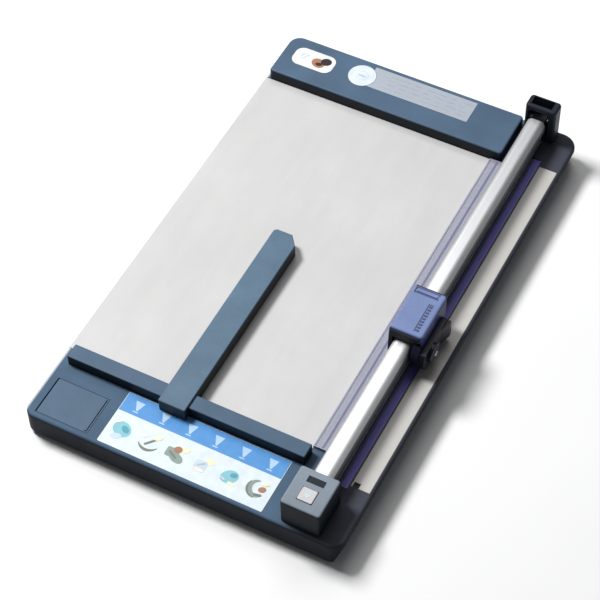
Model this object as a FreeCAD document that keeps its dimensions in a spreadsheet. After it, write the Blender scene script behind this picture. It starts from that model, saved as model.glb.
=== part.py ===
import FreeCAD, Part
import Sketcher
import os

# Rotary paper trimmer: a base with a paper bed, and a lifting rail that carries a sliding disc blade.
#
# Frame: +X to the cutting side, +Y to the rear, +Z up, in millimetres. The origin is the middle of the
# base's footprint, on the surface that the trimmer stands on.

Vector = FreeCAD.Vector
Rotation = FreeCAD.Rotation

# Driving dimensions. Each name becomes an alias of one spreadsheet cell.
DIMENSIONS = {
    # base
    "base_left": -126.0, "base_right": 130.8, "base_front": -213.5, "base_back": 211.5, "base_top": 24.0,
    "skirt_right": 124.0, "skirt_high": 20.0, "foot_high": 2.0, "foot_r": 8.0, "edge_round": 2.5,
    "corner_front_left": 9.0, "corner_front_right": 10.0,
    "corner_back_left": 13.0, "corner_back_right": 14.0,
    "deck_under": 19.4, "rib": 3.0, "cover_thick": 1.6, "cover_inset": 4.0,
    "sheet_thick": 1.5, "sheet_gap": 0.3, "sheet_inset": 0.5, "foot_bevel": 2.0,
    "pass_r": 1.7, "pilot_r": 1.45,
    "bed_right": 75.5, "bed_front": -148.8, "bed_back": 159.8,
    "outer_left": 113.3, "outer_right": 128.3, "outer_front": -162.8, "outer_back": 169.8,
    "notch_left": 114.6, "notch_wide": 4.8, "notch_long": 4.2,
    # cutting channel
    "channel_left": 100.2, "channel_right": 113.0, "channel_low": 18.2, "channel_top": 24.3,
    "channel_front": -166.0, "channel_back": 176.0, "mat_left": 103.0, "mat_right": 112.0,
    "mat_low": 21.0, "mat_top": 23.4,
    # fence and rear cover
    "fence_left": -118.3, "fence_right": 77.0, "fence_front": -162.3, "fence_back": -149.8,
    "fence_top": 34.0, "cover_left": -122.8, "cover_right": 84.0, "cover_front": 160.0,
    "cover_back": 205.5, "cover_wall": 2.0, "boss_r": 4.0,
    # labels and plates
    "label_left": -65.0, "label_right": 68.0, "label_front": -210.2, "label_back": -163.6,
    "label_thick": 0.25, "badge_thick": 0.3, "roundel_x": -51.5, "roundel_y": 187.5, "roundel_r": 11.5,
    "badge_left": -112.5, "badge_right": -76.5, "badge_front": 175.5, "badge_back": 195.0,
    "name_right": 45.5, "name_front": 178.5, "name_back": 201.0,
    # storage compartment and lid
    "lid_left": -117.6, "lid_right": -74.4, "lid_front": -208.4, "lid_back": -176.2, "lid_low": 21.6,
    "lid_seat": 21.5,
    "box_left": -112.0, "box_right": -79.0, "box_front": -204.5, "box_back": -180.0, "box_low": 7.0,
    "lid_pin_x": -116.0, "lid_pin_z": 22.4, "lid_pin_r": 0.8, "pin_play": 0.06,
    # rail
    "rail_x": 98.5, "rail_z": 40.0, "rail_size": 15.0, "rail_round": 5.0, "rail_wall": 1.6,
    "rail_front": -185.2, "rail_back": 194.0,
    # rear post and hinge
    "post_left": 87.0, "post_right": 113.0, "post_front": 196.1, "post_back": 209.8, "post_top": 58.0,
    "cavity_left": 89.8, "cavity_right": 107.2, "cavity_back": 208.0, "cavity_top": 54.0,
    "hinge_y": 203.0, "hinge_r": 2.0,
    # front head
    "head_left": 82.5, "head_right": 113.2, "head_front": -210.0, "head_back": -176.5,
    "head_low": 24.6, "head_top": 49.0, "head_wall": 2.2, "button_x": 97.8, "button_y": -197.5,
    "button_wide": 11.4, "button_long": 11.0, "button_play": 0.35, "button_top": 49.7,
    # sheet clamp
    "flap_left": 75.5, "flap_right": 92.5, "flap_front": -146.0, "flap_back": 158.5,
    "flap_low": 24.7, "flap_top": 26.4, "core_right": 104.5, "core_low": 25.5, "core_top": 28.8,
    "core_front": -185.2, "core_back": 193.0, "pad_left": 81.8, "pad_right": 84.2, "pad_low": 24.3,
    "clamp_pin_r": 2.0, "clamp_pin_front": -181.2, "clamp_pin_back": 188.6,
    # carriage
    "car_front": -50.0, "car_back": -4.0, "car_left": 86.4, "car_right": 113.6, "car_top": 58.5,
    "car_wall": 1.4, "end_thick": 1.0, "car_left_low": 30.5, "car_right_low": 40.0,
    "liner_thick": 0.7, "liner_play": 0.05,
    "saddle_front": -47.4, "saddle_back": -6.6, "saddle_wall": 1.2, "saddle_top": 51.2,
    # blade
    "blade_x": 110.0, "blade_y": -42.0, "blade_z": 38.2, "blade_r": 12.5, "blade_thick": 0.4,
    "axle_r": 2.0, "guard_r": 14.0, "guard_left": 113.8, "guard_right": 118.4, "knob_r": 8.0,
    "hood_r": 14.6, "hood_left": 107.4, "hood_low": 28.5,
    # paper guide
    "guide_left": -38.6, "guide_right": -16.6, "guide_front": -167.3, "guide_back": 11.8,
    "guide_top": 36.0, "guide_low": 24.4, "guide_wall": 2.0, "guide_bevel_x": 7.0, "guide_bevel_y": 9.0,
}


class Size:
    """A length that keeps both its number and the sheet formula that gives it."""

    def __init__(self, formula, value):
        self.formula = formula
        self.value = value

    def _join(self, other, sign, value):
        other = as_size(other)
        return Size(f"({self.formula} {sign} {other.formula})", value)

    def __add__(self, other):
        return self._join(other, "+", self.value + as_size(other).value)

    def __sub__(self, other):
        return self._join(other, "-", self.value - as_size(other).value)

    def __mul__(self, other):
        return self._join(other, "*", self.value * as_size(other).value)

    def __truediv__(self, other):
        return self._join(other, "/", self.value / as_size(other).value)

    def __rsub__(self, other):
        return as_size(other) - self

    def __neg__(self):
        return Size(f"(0 - {self.formula})", -self.value)

    __radd__ = __add__


def as_size(thing):
    """Turn a plain number into a Size; leave a Size alone."""
    if isinstance(thing, Size):
        return thing
    return Size(f"({thing})", float(thing))


def make_sheet(doc):
    """Write the driving dimensions into the sheet and return them as named sizes."""
    sheet = doc.addObject("Spreadsheet::Sheet", "Dimensions")
    for row, (name, number) in enumerate(DIMENSIONS.items(), start=1):
        sheet.set(f"A{row}", name)
        sheet.set(f"B{row}", str(number))
        sheet.setAlias(f"B{row}", name)
    doc.recompute()
    return {name: Size(f"Dimensions.{name}", number) for name, number in DIMENSIONS.items()}


doc = FreeCAD.newDocument("paper_trimmer")
D = make_sheet(doc)
NODES = []
SOCKET_SHARE = 0.5
TINY = 0.01
PLANE_ROLES = {"XY": "XY_Plane", "XZ": "XZ_Plane", "YZ": "YZ_Plane"}
AXIS_TURNS = {"X": Rotation(Vector(0, 1, 0), 90), "Y": Rotation(Vector(1, 0, 0), -90), "Z": Rotation()}


def bind(thing, name, size):
    """Tie one property to the sheet."""
    thing.setExpression(name, as_size(size).formula)


def move_to(thing, x, y, z):
    """Tie an object's position to the sheet."""
    for axis, size in zip("xyz", (x, y, z)):
        bind(thing, f"Placement.Base.{axis}", size)


def draw_outline(sketch, points):
    """Draw a closed outline of straight lines and tie each corner to the sheet."""
    corners = [(as_size(a), as_size(b)) for a, b in points]
    count = len(corners)
    for index in range(count):
        ends = (corners[index], corners[(index + 1) % count])
        first, second = [Vector(a.value, b.value, 0) for a, b in ends]
        sketch.addGeometry(Part.LineSegment(first, second), False)
    for index in range(count):
        sketch.addConstraint(Sketcher.Constraint("Coincident", index, 2, (index + 1) % count, 1))
    for index, corner in enumerate(corners):
        for kind, size in zip(("DistanceX", "DistanceY"), corner):
            number = sketch.addConstraint(Sketcher.Constraint(kind, -1, 1, index, 1, size.value))
            sketch.setExpression(f"Constraints[{number}]", size.formula)
    sketch.recompute()


class Piece:
    """One sub-part: a PartDesign body built from boxes, rods and drawn outlines."""

    def __init__(self, label):
        self.label = label
        self.body = doc.addObject("PartDesign::Body", label)
        self.body.Label = label
        NODES.append(self.body)

    def _feature(self, kind):
        """Add an empty feature to the body."""
        feature = doc.addObject(f"PartDesign::{kind}", f"{self.label}_{kind}")
        self.body.addObject(feature)
        return feature

    def _sketch(self, plane):
        """Add an empty sketch on one of the body's own origin planes."""
        sketch = self.body.newObject("Sketcher::SketchObject", f"{self.label}_sketch")
        for flat in self.body.Origin.OriginFeatures:
            if flat.Role == PLANE_ROLES[plane]:
                sketch.AttachmentSupport = [(flat, "")]
        sketch.MapMode = "FlatFace"
        return sketch

    def _finish(self, feature, cut, before):
        """Compute a feature and make sure that it changed the body the right way."""
        feature.recompute()
        change = feature.Shape.Volume - before
        if abs(change) < 1e-6 or (change < 0) != cut:
            raise ValueError(f"{self.label}: {feature.Name} changed the volume by {change:.3f}")
        return self

    def volume(self):
        """The body's volume so far."""
        return self.body.Tip.Shape.Volume if self.body.Tip else 0.0

    def box(self, x, y, z, cut=False):
        """A block between two limits on each axis."""
        before = self.volume()
        feature = self._feature("SubtractiveBox" if cut else "AdditiveBox")
        move_to(feature, x[0], y[0], z[0])
        for name, span in zip(("Length", "Width", "Height"), (x, y, z)):
            bind(feature, name, as_size(span[1]) - span[0])
        return self._finish(feature, cut, before)

    def rod(self, axis, centre, radius, span, cut=False):
        """A cylinder along an axis; centre holds the two other coordinates in X, Y, Z order."""
        before = self.volume()
        feature = self._feature("SubtractiveCylinder" if cut else "AdditiveCylinder")
        feature.Placement = FreeCAD.Placement(Vector(), AXIS_TURNS[axis])
        at = list(centre)
        at.insert("XYZ".index(axis), span[0])
        move_to(feature, *at)
        bind(feature, "Radius", radius)
        bind(feature, "Height", as_size(span[1]) - span[0])
        return self._finish(feature, cut, before)

    def outline(self, plane, points, span, cut=False):
        """A drawn outline pushed between two heights along the plane's normal.

        Points are (x, y) on XY, (x, z) on XZ and (y, z) on YZ.
        """
        before = self.volume()
        sketch = self._sketch(plane)
        start = -as_size(span[1]) if plane == "XZ" else as_size(span[0])
        bind(sketch, "AttachmentOffset.Base.z", start)
        draw_outline(sketch, points)
        feature = self._feature("Pocket" if cut else "Pad")
        feature.Profile = sketch
        feature.Reversed = cut
        bind(feature, "Length", as_size(span[1]) - span[0])
        return self._finish(feature, cut, before)

    def turned(self, axis_y, axis_z, points):
        """A solid of revolution about a line along X; points are (x, radius)."""
        before = self.volume()
        sketch = self._sketch("XZ")
        bind(sketch, "AttachmentOffset.Base.y", axis_z)
        bind(sketch, "AttachmentOffset.Base.z", -as_size(axis_y))
        draw_outline(sketch, points)
        feature = self._feature("Revolution")
        feature.Profile = sketch
        feature.ReferenceAxis = (sketch, ["H_Axis"])
        feature.Angle = 360.0
        return self._finish(feature, False, before)

    def blend(self, radius, pick, bevel=False):
        """Round or bevel every edge of the last feature that the test picks."""
        last = self.body.Tip
        edges = [f"Edge{i}" for i, edge in enumerate(last.Shape.Edges, start=1) if pick(edge)]
        if not edges:
            raise ValueError(f"{self.label}: no edge to blend")
        feature = self._feature("Chamfer" if bevel else "Fillet")
        feature.Base = (last, edges)
        bind(feature, "Size" if bevel else "Radius", radius)
        feature.recompute()
        if feature.Shape.isNull() or not feature.Shape.isValid():
            raise ValueError(f"{self.label}: {feature.Name} could not be blended")
        return self


def inside(edge, low, high):
    """Whether an edge's middle lies between two corners of a region; None leaves a side open."""
    middle = edge.CenterOfMass
    for index in range(3):
        if low and low[index] is not None and middle[index] < as_size(low[index]).value:
            return False
        if high and high[index] is not None and middle[index] > as_size(high[index]).value:
            return False
    return True


def along(axis, low=None, high=None):
    """A test for straight edges along an axis that lie in a region."""
    def test(edge):
        if edge.Curve.TypeId != "Part::GeomLine" or not inside(edge, low, high):
            return False
        tangent = edge.tangentAt(edge.FirstParameter)
        return abs(getattr(tangent, axis.lower())) > 0.999
    return test


def at_height(height, low=None, high=None):
    """A test for every edge that lies flat at one height, in a region."""
    def test(edge):
        box = edge.BoundBox
        level = as_size(height).value
        flat = abs(box.ZMin - level) < 1e-4 and abs(box.ZMax - level) < 1e-4
        return flat and inside(edge, low, high)
    return test


def cylinder(name, x, y, low, radius, tall):
    """An upright cylinder tied to the sheet."""
    thing = doc.addObject("Part::Cylinder", name)
    move_to(thing, x, y, low)
    bind(thing, "Radius", radius)
    bind(thing, "Height", tall)
    return thing


def group(label, solids):
    """Put separate like solids on one node."""
    thing = doc.addObject("Part::Compound", label)
    thing.Label = label
    thing.Links = solids
    NODES.append(thing)
    return thing


def fasteners(label, spots, seat, head_r, head_tall, shank_r, shank_long):
    """Like screws driven upwards: a disc head with a hexagon socket under the seat, a shank above it."""
    seat = as_size(seat)
    solids = []
    for x, y in spots:
        blank = doc.addObject("Part::MultiFuse", f"{label}_blank")
        blank.Shapes = [
            cylinder(f"{label}_head", x, y, seat - head_tall, head_r, head_tall),
            cylinder(f"{label}_shank", x, y, seat, shank_r, shank_long),
        ]
        socket = doc.addObject("Part::Prism", f"{label}_socket")
        socket.Polygon = 6
        bind(socket, "Circumradius", as_size(head_r) * SOCKET_SHARE)
        bind(socket, "Height", as_size(head_tall) / 2)
        move_to(socket, x, y, seat - head_tall)
        screw = doc.addObject("Part::Cut", f"{label}_screw")
        screw.Base = blank
        screw.Tool = socket
        solids.append(screw)
    return group(label, solids)


def coil(name, axis, start, mean_r, wire_r, long, turns):
    """A helical spring that runs from its start along an axis."""
    turn = AXIS_TURNS[axis]
    path = doc.addObject("Part::Helix", f"{name}_path")
    path.Placement = FreeCAD.Placement(Vector(), turn)
    move_to(path, *start)
    bind(path, "Radius", mean_r)
    bind(path, "Height", long)
    bind(path, "Pitch", as_size(long) / turns)
    path.recompute()
    wire = doc.addObject("Part::RegularPolygon", f"{name}_wire")
    wire.Polygon = 6
    wire.Placement = FreeCAD.Placement(Vector(), turn * Rotation(Vector(1, 0, 0), 90))
    # the helix begins one radius out along its own X axis
    out = turn.multVec(Vector(1, 0, 0))
    move_to(wire, *[as_size(mean_r) * round(step) + at for at, step in zip(start, out)])
    bind(wire, "Circumradius", wire_r)
    spring = doc.addObject("Part::Sweep", f"{name}_coil")
    spring.Sections = [wire]
    spring.Spine = (path, [f"Edge{i}" for i in range(1, len(path.Shape.Edges) + 1)])
    spring.Solid = True
    spring.Frenet = True
    return spring


# ---- lines that several pieces share ----
top = D["base_top"]
foot = D["foot_high"]
deck = D["deck_under"]
sheet_low = top - D["sheet_thick"]
recess_low = sheet_low - 0.1
half_rail = D["rail_size"] / 2
rail_left, rail_right = D["rail_x"] - half_rail, D["rail_x"] + half_rail
rail_low, rail_top = D["rail_z"] - half_rail, D["rail_z"] + half_rail
inner_left, inner_right = rail_left + D["rail_wall"], rail_right - D["rail_wall"]
inner_low, inner_top = rail_low + D["rail_wall"], rail_top - D["rail_wall"]

COVER_SPOTS = [(-55, -194), (55, -194), (-117, -70), (-117, 70), (115, -70), (115, 70),
               (-60, 203), (40, 203)]
FENCE_SPOTS = [(-100, -156), (-20, -156), (60, -156)]
REAR_SPOTS = [(-100, 182), (-20, 182), (70, 182)]
POST_SPOTS = [(93.5, 205.5), (103.5, 205.5)]
HEAD_SPOTS = [(87.8, -204.8), (107.9, -204.8)]
FOOT_SPOTS = [(-104, -190), (104, -190), (-104, 0), (104, 0), (-104, 190), (104, 190)]
CLAMP_PIN_YS = (D["clamp_pin_front"], D["clamp_pin_back"])
PRESS_PIN_YS = (-40, -14)


def cover_outline(gap):
    """The underside cover's outline with its corners cut off; a gap makes it wider all round."""
    left, right = D["base_left"] + D["cover_inset"] - gap, D["skirt_right"] - D["cover_inset"] + gap
    front, back = D["base_front"] + D["cover_inset"] - gap, D["base_back"] - D["cover_inset"] + gap
    cut = 12
    return [
        (left, front + cut), (left + cut, front), (right - cut, front), (right, front + cut),
        (right, back - cut), (right - cut, back), (left + cut, back), (left, back - cut),
    ]


def make_base_tray():
    """The moulded base: a deck over a ribbed underside, with recesses for what is let into it."""
    tray = Piece("base_tray")
    left, right, front, back = D["base_left"], D["base_right"], D["base_front"], D["base_back"]
    tray.box((left, right), (front, back), (foot, top))
    tray.blend(D["corner_front_left"], along("Z", low=(left - 1, front - 1, None), high=(0, 0, None)))
    tray.blend(D["corner_back_left"], along("Z", low=(left - 1, back - 1, None), high=(0, None, None)))
    tray.blend(D["corner_front_right"], along("Z", low=(right - 1, None, None), high=(None, 0, None)))
    tray.blend(D["corner_back_right"], along("Z", low=(right - 1, back - 1, None)))
    tray.blend(D["edge_round"], at_height(top))
    tray.blend(D["foot_bevel"], at_height(foot), bevel=True)
    # the right-hand side leans inwards below its rim
    tray.outline("XZ", [(D["skirt_right"], foot), (D["skirt_right"], foot - 1), (right + 5, foot - 1),
                        (right + 5, D["skirt_high"]), (right, D["skirt_high"])],
                 (front - 1, back + 1), cut=True)
    # bed, right-hand plate and cutting channel
    gap = D["sheet_gap"]
    tray.box((left - 1, D["bed_right"] + gap), (D["bed_front"] - gap, D["bed_back"] + gap),
             (recess_low, top + 1), cut=True)
    tray.box((D["outer_left"] - gap, D["outer_right"] + gap),
             (D["outer_front"] - gap, D["outer_back"] + gap), (recess_low, top + 1), cut=True)
    tray.box((D["channel_left"] - 0.2, D["channel_right"] + 0.2),
             (D["channel_front"] - gap, D["channel_back"] + gap),
             (D["channel_low"] - 0.2, top + 1), cut=True)
    # storage compartment, and the shallower seat of its lid
    tray.box((D["box_left"], D["box_right"]), (D["box_front"], D["box_back"]),
             (D["box_low"], top + 1), cut=True)
    lid_gap = 0.35
    lid_y = (D["lid_front"] - lid_gap, D["lid_back"] + lid_gap)
    tray.box((D["lid_left"] - lid_gap, D["lid_right"] + lid_gap), lid_y, (D["lid_seat"], top + 1), cut=True)
    tray.box((D["lid_left"] - lid_gap, D["lid_pin_x"] + 3), lid_y, (D["lid_seat"] - 1.3, top + 1), cut=True)
    tray.rod("Y", (D["lid_pin_x"], D["lid_pin_z"]), D["lid_pin_r"], (-210.2, -174), cut=True)
    # pocket of the latch, with a slot for the foot of its keeper
    tray.box((93.5, 102.5), (-200, -180.6), (9.6, top + 1), cut=True)
    # underside: the cover's seat, cells between ribs, and screw holes
    tray.outline("XY", cover_outline(0.2), (foot, foot + D["cover_thick"]), cut=True)
    cells_x, cells_y = (-112, 92), (-172, 196)
    wide = (as_size(cells_x[1] - cells_x[0]) - D["rib"] * 3) / 4
    long = (as_size(cells_y[1] - cells_y[0]) - D["rib"] * 3) / 4
    for column in range(4):
        cell_left = (wide + D["rib"]) * column + cells_x[0]
        for row in range(4):
            cell_front = (long + D["rib"]) * row + cells_y[0]
            tray.box((cell_left, cell_left + wide), (cell_front, cell_front + long), (foot, deck), cut=True)
    tray.box((-48, 48), (-206, -176), (foot, deck), cut=True)
    for x, y in FENCE_SPOTS + REAR_SPOTS + POST_SPOTS:
        tray.rod("Z", (x, y), D["pass_r"], (deck - 1, top + 1), cut=True)
    for x, y in POST_SPOTS:
        tray.rod("Z", (x, y), 3.1, (foot, deck), cut=True)
    for x, y in COVER_SPOTS:
        tray.rod("Z", (x, y), D["pilot_r"], (foot, 14), cut=True)


def make_underside():
    """The cover under the base with its screws, and the rubber feet."""
    cover = Piece("bottom_cover")
    cover.outline("XY", cover_outline(0), (foot, foot + D["cover_thick"]))
    for x, y in COVER_SPOTS:
        cover.rod("Z", (x, y), 1.6, (foot - 1, foot + 3), cut=True)
        cover.rod("Z", (x, y), 3.0, (foot - 1, foot + 1), cut=True)
    for x, y in POST_SPOTS:
        cover.rod("Z", (x, y), 3.1, (foot - 1, foot + 3), cut=True)
    fasteners("cover_screws", COVER_SPOTS, foot + 1, 2.8, 0.95, 1.4, 9.0)
    feet = [cylinder("foot", x, y, 0, D["foot_r"], foot) for x, y in FOOT_SPOTS]
    group("rubber_feet", feet)


def make_deck_plates():
    """The sheets let into the deck, the cutting channel with its mat, and the printed panels."""
    bed = Piece("bed_plate")
    bed.box((D["base_left"] + D["sheet_inset"], D["bed_right"]), (D["bed_front"], D["bed_back"]),
            (sheet_low, top))
    bed.blend(0.25, at_height(top), bevel=True)
    outer = Piece("outer_plate")
    outer.box((D["outer_left"], D["outer_right"]), (D["outer_front"], D["outer_back"]), (sheet_low, top))
    outer.box((D["notch_left"], D["notch_left"] + D["notch_wide"]),
              (D["outer_front"], D["outer_front"] + D["notch_long"]), (sheet_low, top), cut=True)
    outer.blend(0.25, at_height(top), bevel=True)
    channel = Piece("mat_channel")
    channel_y = (D["channel_front"], D["channel_back"])
    channel.box((D["channel_left"], D["channel_right"]), channel_y, (D["channel_low"], D["channel_top"]))
    channel.box((D["mat_left"], D["mat_right"]), channel_y, (D["mat_low"], D["channel_top"] + 1), cut=True)
    channel.blend(0.3, along("Y", low=(None, None, D["channel_top"] - TINY)), bevel=True)
    mat = Piece("cutting_mat")
    mat_y = (D["channel_front"] + 0.2, D["channel_back"] - 0.2)
    mat.box((D["mat_left"] + 0.1, D["mat_right"] - 0.1), mat_y, (D["mat_low"], D["mat_top"]))
    for left, wide in ((109.8, 0.8), (106.6, 0.4)):
        mat.box((left, left + wide), mat_y, (D["mat_top"] - 0.4, D["mat_top"] + 1), cut=True)
    label = Piece("front_label")
    label.box((D["label_left"], D["label_right"]), (D["label_front"], D["label_back"]),
              (top, top + D["label_thick"]))
    label.blend(1.0, along("Z"))
    badge = Piece("rear_badge")
    badge.box((D["badge_left"], D["badge_right"]), (D["badge_front"], D["badge_back"]),
              (D["fence_top"], D["fence_top"] + D["badge_thick"]))
    badge.blend(7.0, along("Z"))
    roundel = Piece("rear_roundel")
    roundel.rod("Z", (D["roundel_x"], D["roundel_y"]), D["roundel_r"],
                (D["fence_top"], D["fence_top"] + D["badge_thick"]))
    plate = Piece("rear_nameplate")
    plate.box((-45, D["name_right"]), (D["name_front"], D["name_back"]),
              (D["fence_top"], D["fence_top"] + D["badge_thick"]))
    plate.rod("Z", (D["roundel_x"], D["roundel_y"]), D["roundel_r"] + 0.3,
              (D["fence_top"] - 1, D["fence_top"] + 1), cut=True)


def make_hollow_cap(label, x, y, spots, corners, corner_cut, top_round):
    """A cap that is open below, with a boss around every screw that holds it down."""
    cap = Piece(label)
    wall = D["cover_wall"]
    cap.box(x, y, (top, D["fence_top"]))
    for radius, low, high in corners:
        cap.blend(radius, along("Z", low, high))
    cap.blend(top_round, at_height(D["fence_top"]))
    low_x, high_x, low_y, high_y = x[0] + wall, x[1] - wall, y[0] + wall, y[1] - wall
    cap.outline("XY", [(low_x, low_y), (high_x, low_y), (high_x, high_y), (low_x + corner_cut, high_y),
                       (low_x, high_y - corner_cut)], (top, D["fence_top"] - wall), cut=True)
    for spot in spots:
        cap.rod("Z", spot, D["boss_r"], (top, D["fence_top"] - wall / 2))
        cap.rod("Z", spot, D["pilot_r"], (top - 1, D["fence_top"] - wall), cut=True)


def make_caps():
    """The fence that the paper is squared against, and the raised cover along the rear edge."""
    make_hollow_cap("fence_bar", (D["fence_left"], D["fence_right"]), (D["fence_front"], D["fence_back"]),
                    FENCE_SPOTS, [(1.0, None, None)], 0.5, 1.0)
    corners = [
        (10.0, (None, D["cover_back"] - 1, None), (D["cover_left"] + 1, None, None)),
        (3.0, (None, None, None), (None, D["cover_front"] + 1, None)),
        (3.0, (D["cover_right"] - 1, D["cover_back"] - 1, None), None),
    ]
    make_hollow_cap("rear_cover", (D["cover_left"], D["cover_right"]), (D["cover_front"], D["cover_back"]),
                    REAR_SPOTS, corners, 5.0, 2.0)
    fasteners("fence_screws", FENCE_SPOTS, deck, 2.8, 2.0, 1.4, 11.0)
    fasteners("rear_cover_screws", REAR_SPOTS, deck, 2.8, 2.0, 1.4, 11.0)


def make_storage_lid():
    """The hinged lid of the storage compartment, and its hinge pin."""
    lid = Piece("storage_lid")
    lid_y = (D["lid_front"], D["lid_back"])
    lid.box((D["lid_pin_x"], D["lid_right"]), lid_y, (D["lid_low"], top))
    lid.rod("Y", (D["lid_pin_x"], D["lid_pin_z"]), 1.6, lid_y)
    lid.box((-77.6, -75.6), (D["lid_front"] + 1, D["lid_back"] - 1), (D["lid_low"], top + 0.8))
    lid.blend(0.4, along("Y", low=(-78, None, top + 0.7)))
    lid.rod("Y", (D["lid_pin_x"], D["lid_pin_z"]), D["lid_pin_r"] + D["pin_play"], (-212, -170), cut=True)
    pin = Piece("lid_pin")
    pin.rod("Y", (D["lid_pin_x"], D["lid_pin_z"]), D["lid_pin_r"], (-210.2, -174))


def make_rear_post():
    """The post that carries the rail's hinge, with its pin and screws."""
    post = Piece("rear_post")
    post_x, post_y = (D["post_left"], D["post_right"]), (D["post_front"], D["post_back"])
    post.box(post_x, post_y, (top, D["post_top"]))
    post.blend(3.0, along("Z"))
    post.blend(2.0, at_height(D["post_top"]))
    post.box((D["cavity_left"], D["cavity_right"]), (D["post_front"] - 1, D["cavity_back"]),
             (29, D["cavity_top"]), cut=True)
    post.blend(4.0, along("Y", low=(D["cavity_left"] - 0.5, None, D["cavity_top"] - 0.5),
                          high=(D["cavity_right"] + 0.5, None, D["cavity_top"] + 0.5)))
    post.box((90.5, 108), (199.5, 207.6), (D["cavity_top"] - 4.2, D["post_top"] + 1), cut=True)
    pin_x = (D["post_left"] + 1, D["post_right"] - 1)
    post.rod("X", (D["hinge_y"], D["rail_z"]), D["hinge_r"], pin_x, cut=True)
    for spot in POST_SPOTS:
        post.rod("Z", spot, D["pilot_r"], (top - 1, 28.2), cut=True)
    fasteners("post_screws", POST_SPOTS, deck, 2.8, 2.0, 1.4, 8.6)
    pin = Piece("hinge_pin")
    pin.rod("X", (D["hinge_y"], D["rail_z"]), D["hinge_r"], pin_x)


def make_latch_keeper():
    """The spring-steel catch in the base that the latch hook snaps under."""
    keeper = Piece("latch_keeper")
    keeper.outline("YZ", [(-189.8, 16), (-186, 16), (-186, 9.6), (-181, 9.6), (-181, 10.4), (-185.2, 10.4),
                          (-185.2, 16.8), (-189.8, 16.8)], (95.2, 100.8))


def make_rail():
    """The rail tube, its hinge block at the rear and its cap at the front."""
    tube = Piece("rail_tube")
    tube.box((rail_left, rail_right), (D["rail_front"], D["rail_back"]), (rail_low, rail_top))
    tube.blend(D["rail_round"], along("Y"))
    tube.box((inner_left, inner_right), (D["rail_front"], D["rail_back"]), (inner_low, inner_top), cut=True)
    low, high = (inner_left - 0.1, None, inner_low - 0.1), (inner_right + 0.1, None, inner_top + 0.1)
    tube.blend(D["rail_round"] - D["rail_wall"], along("Y", low, high))
    for y in CLAMP_PIN_YS:
        tube.rod("Z", (D["rail_x"], y), D["clamp_pin_r"] + 0.02, (rail_low - 1, rail_low + 2.5), cut=True)
    block = Piece("hinge_block")
    block.box((inner_left + 0.02, inner_right - 0.02), (180, D["rail_back"]),
              (inner_low + 0.02, inner_top - 0.02))
    block.blend(D["rail_round"] - D["rail_wall"], along("Y"))
    block.box((93, 104), (D["rail_back"] - 1, D["hinge_y"]), (D["rail_z"] - 4.5, D["rail_z"] + 4.5))
    block.rod("X", (D["hinge_y"], D["rail_z"]), 4.5, (93, 104))
    block.rod("X", (D["hinge_y"], D["rail_z"]), D["hinge_r"] + D["pin_play"], (90, 107), cut=True)
    block.rod("Z", (D["rail_x"], D["clamp_pin_back"]), D["clamp_pin_r"] + 0.02,
              (inner_low - 1, 43), cut=True)
    cap = Piece("rail_end_cap")
    cap.box((inner_left + 0.02, inner_right - 0.02), (-185.1, -183.9), (inner_low + 0.02, inner_top - 0.02))
    cap.blend(D["rail_round"] - D["rail_wall"], along("Y"))


def make_head():
    """The head at the front of the rail: shell, base, and the pins that guide the clamp strip."""
    head = Piece("head_shell")
    wall = D["head_wall"]
    x, y = (D["head_left"], D["head_right"]), (D["head_front"], D["head_back"])
    head.box(x, y, (D["head_low"], D["head_top"]))
    head.blend(2.2, along("Z"))
    head.blend(1.6, at_height(D["head_top"]))
    ceiling = D["head_top"] - wall
    head.box((x[0] + wall, x[1] - wall), (y[0] + wall, y[1] - wall), (D["head_low"], ceiling), cut=True)
    head.box((rail_left - 0.1, rail_right + 0.1), (D["rail_front"] - 0.1, y[1] + 1),
             (D["head_low"] - 1, rail_top + 0.1), cut=True)
    half_x, half_y = D["button_wide"] / 2 + D["button_play"], D["button_long"] / 2 + D["button_play"]
    head.box((D["button_x"] - half_x, D["button_x"] + half_x),
             (D["button_y"] - half_y, D["button_y"] + half_y), (ceiling - 1, D["head_top"] + 1), cut=True)
    head.box((91.5, 105), (-187.5, -182.2), (D["head_top"] - 0.9, D["head_top"] + 1), cut=True)
    for spot in HEAD_SPOTS:
        head.rod("Z", spot, 1.9, (26.2, ceiling + 0.5))
        head.rod("Z", spot, 0.92, (26, 36), cut=True)
    base = Piece("head_base")
    base.box((x[0] + wall + 0.1, x[1] - wall - 0.1), (y[0] + wall + 0.1, -187), (D["head_low"], 26.2))
    base.box((95.1, 100.9), (-197, -189.4), (D["head_low"] - 1, 27), cut=True)
    for spot in HEAD_SPOTS:
        base.rod("Z", spot, 1.1, (D["head_low"] - 1, 27), cut=True)
        base.rod("Z", spot, 2.15, (D["head_low"] - 1, D["head_low"] + 0.9), cut=True)
    fasteners("head_screws", HEAD_SPOTS, D["head_low"] + 0.9, 2.0, 0.8, 0.9, 8.0)
    pins = []
    for y in CLAMP_PIN_YS:
        pin = doc.addObject("Part::MultiFuse", "clamp_pin")
        pin.Shapes = [cylinder("clamp_pin_head", D["rail_x"], y, 24.5, 3.2, 0.9),
                      cylinder("clamp_pin_shank", D["rail_x"], y, 25.4, D["clamp_pin_r"], 16.6)]
        pins.append(pin)
    group("clamp_pins", pins)
    coils = [coil("clamp_spring", "Z", (D["rail_x"], y, 29.15), 3.0, 0.25, 3.0, 3) for y in CLAMP_PIN_YS]
    group("clamp_springs", coils)
    coils = [coil("button_spring", "Z", (x, -198, 26.5), 1.8, 0.2, 18.5, 10) for x in (92.8, 103.2)]
    group("button_springs", coils)
    group("latch_spring", [coil("latch_spring", "Y", (98, -207.5, 33), 1.5, 0.25, 8.2, 6)])


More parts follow.
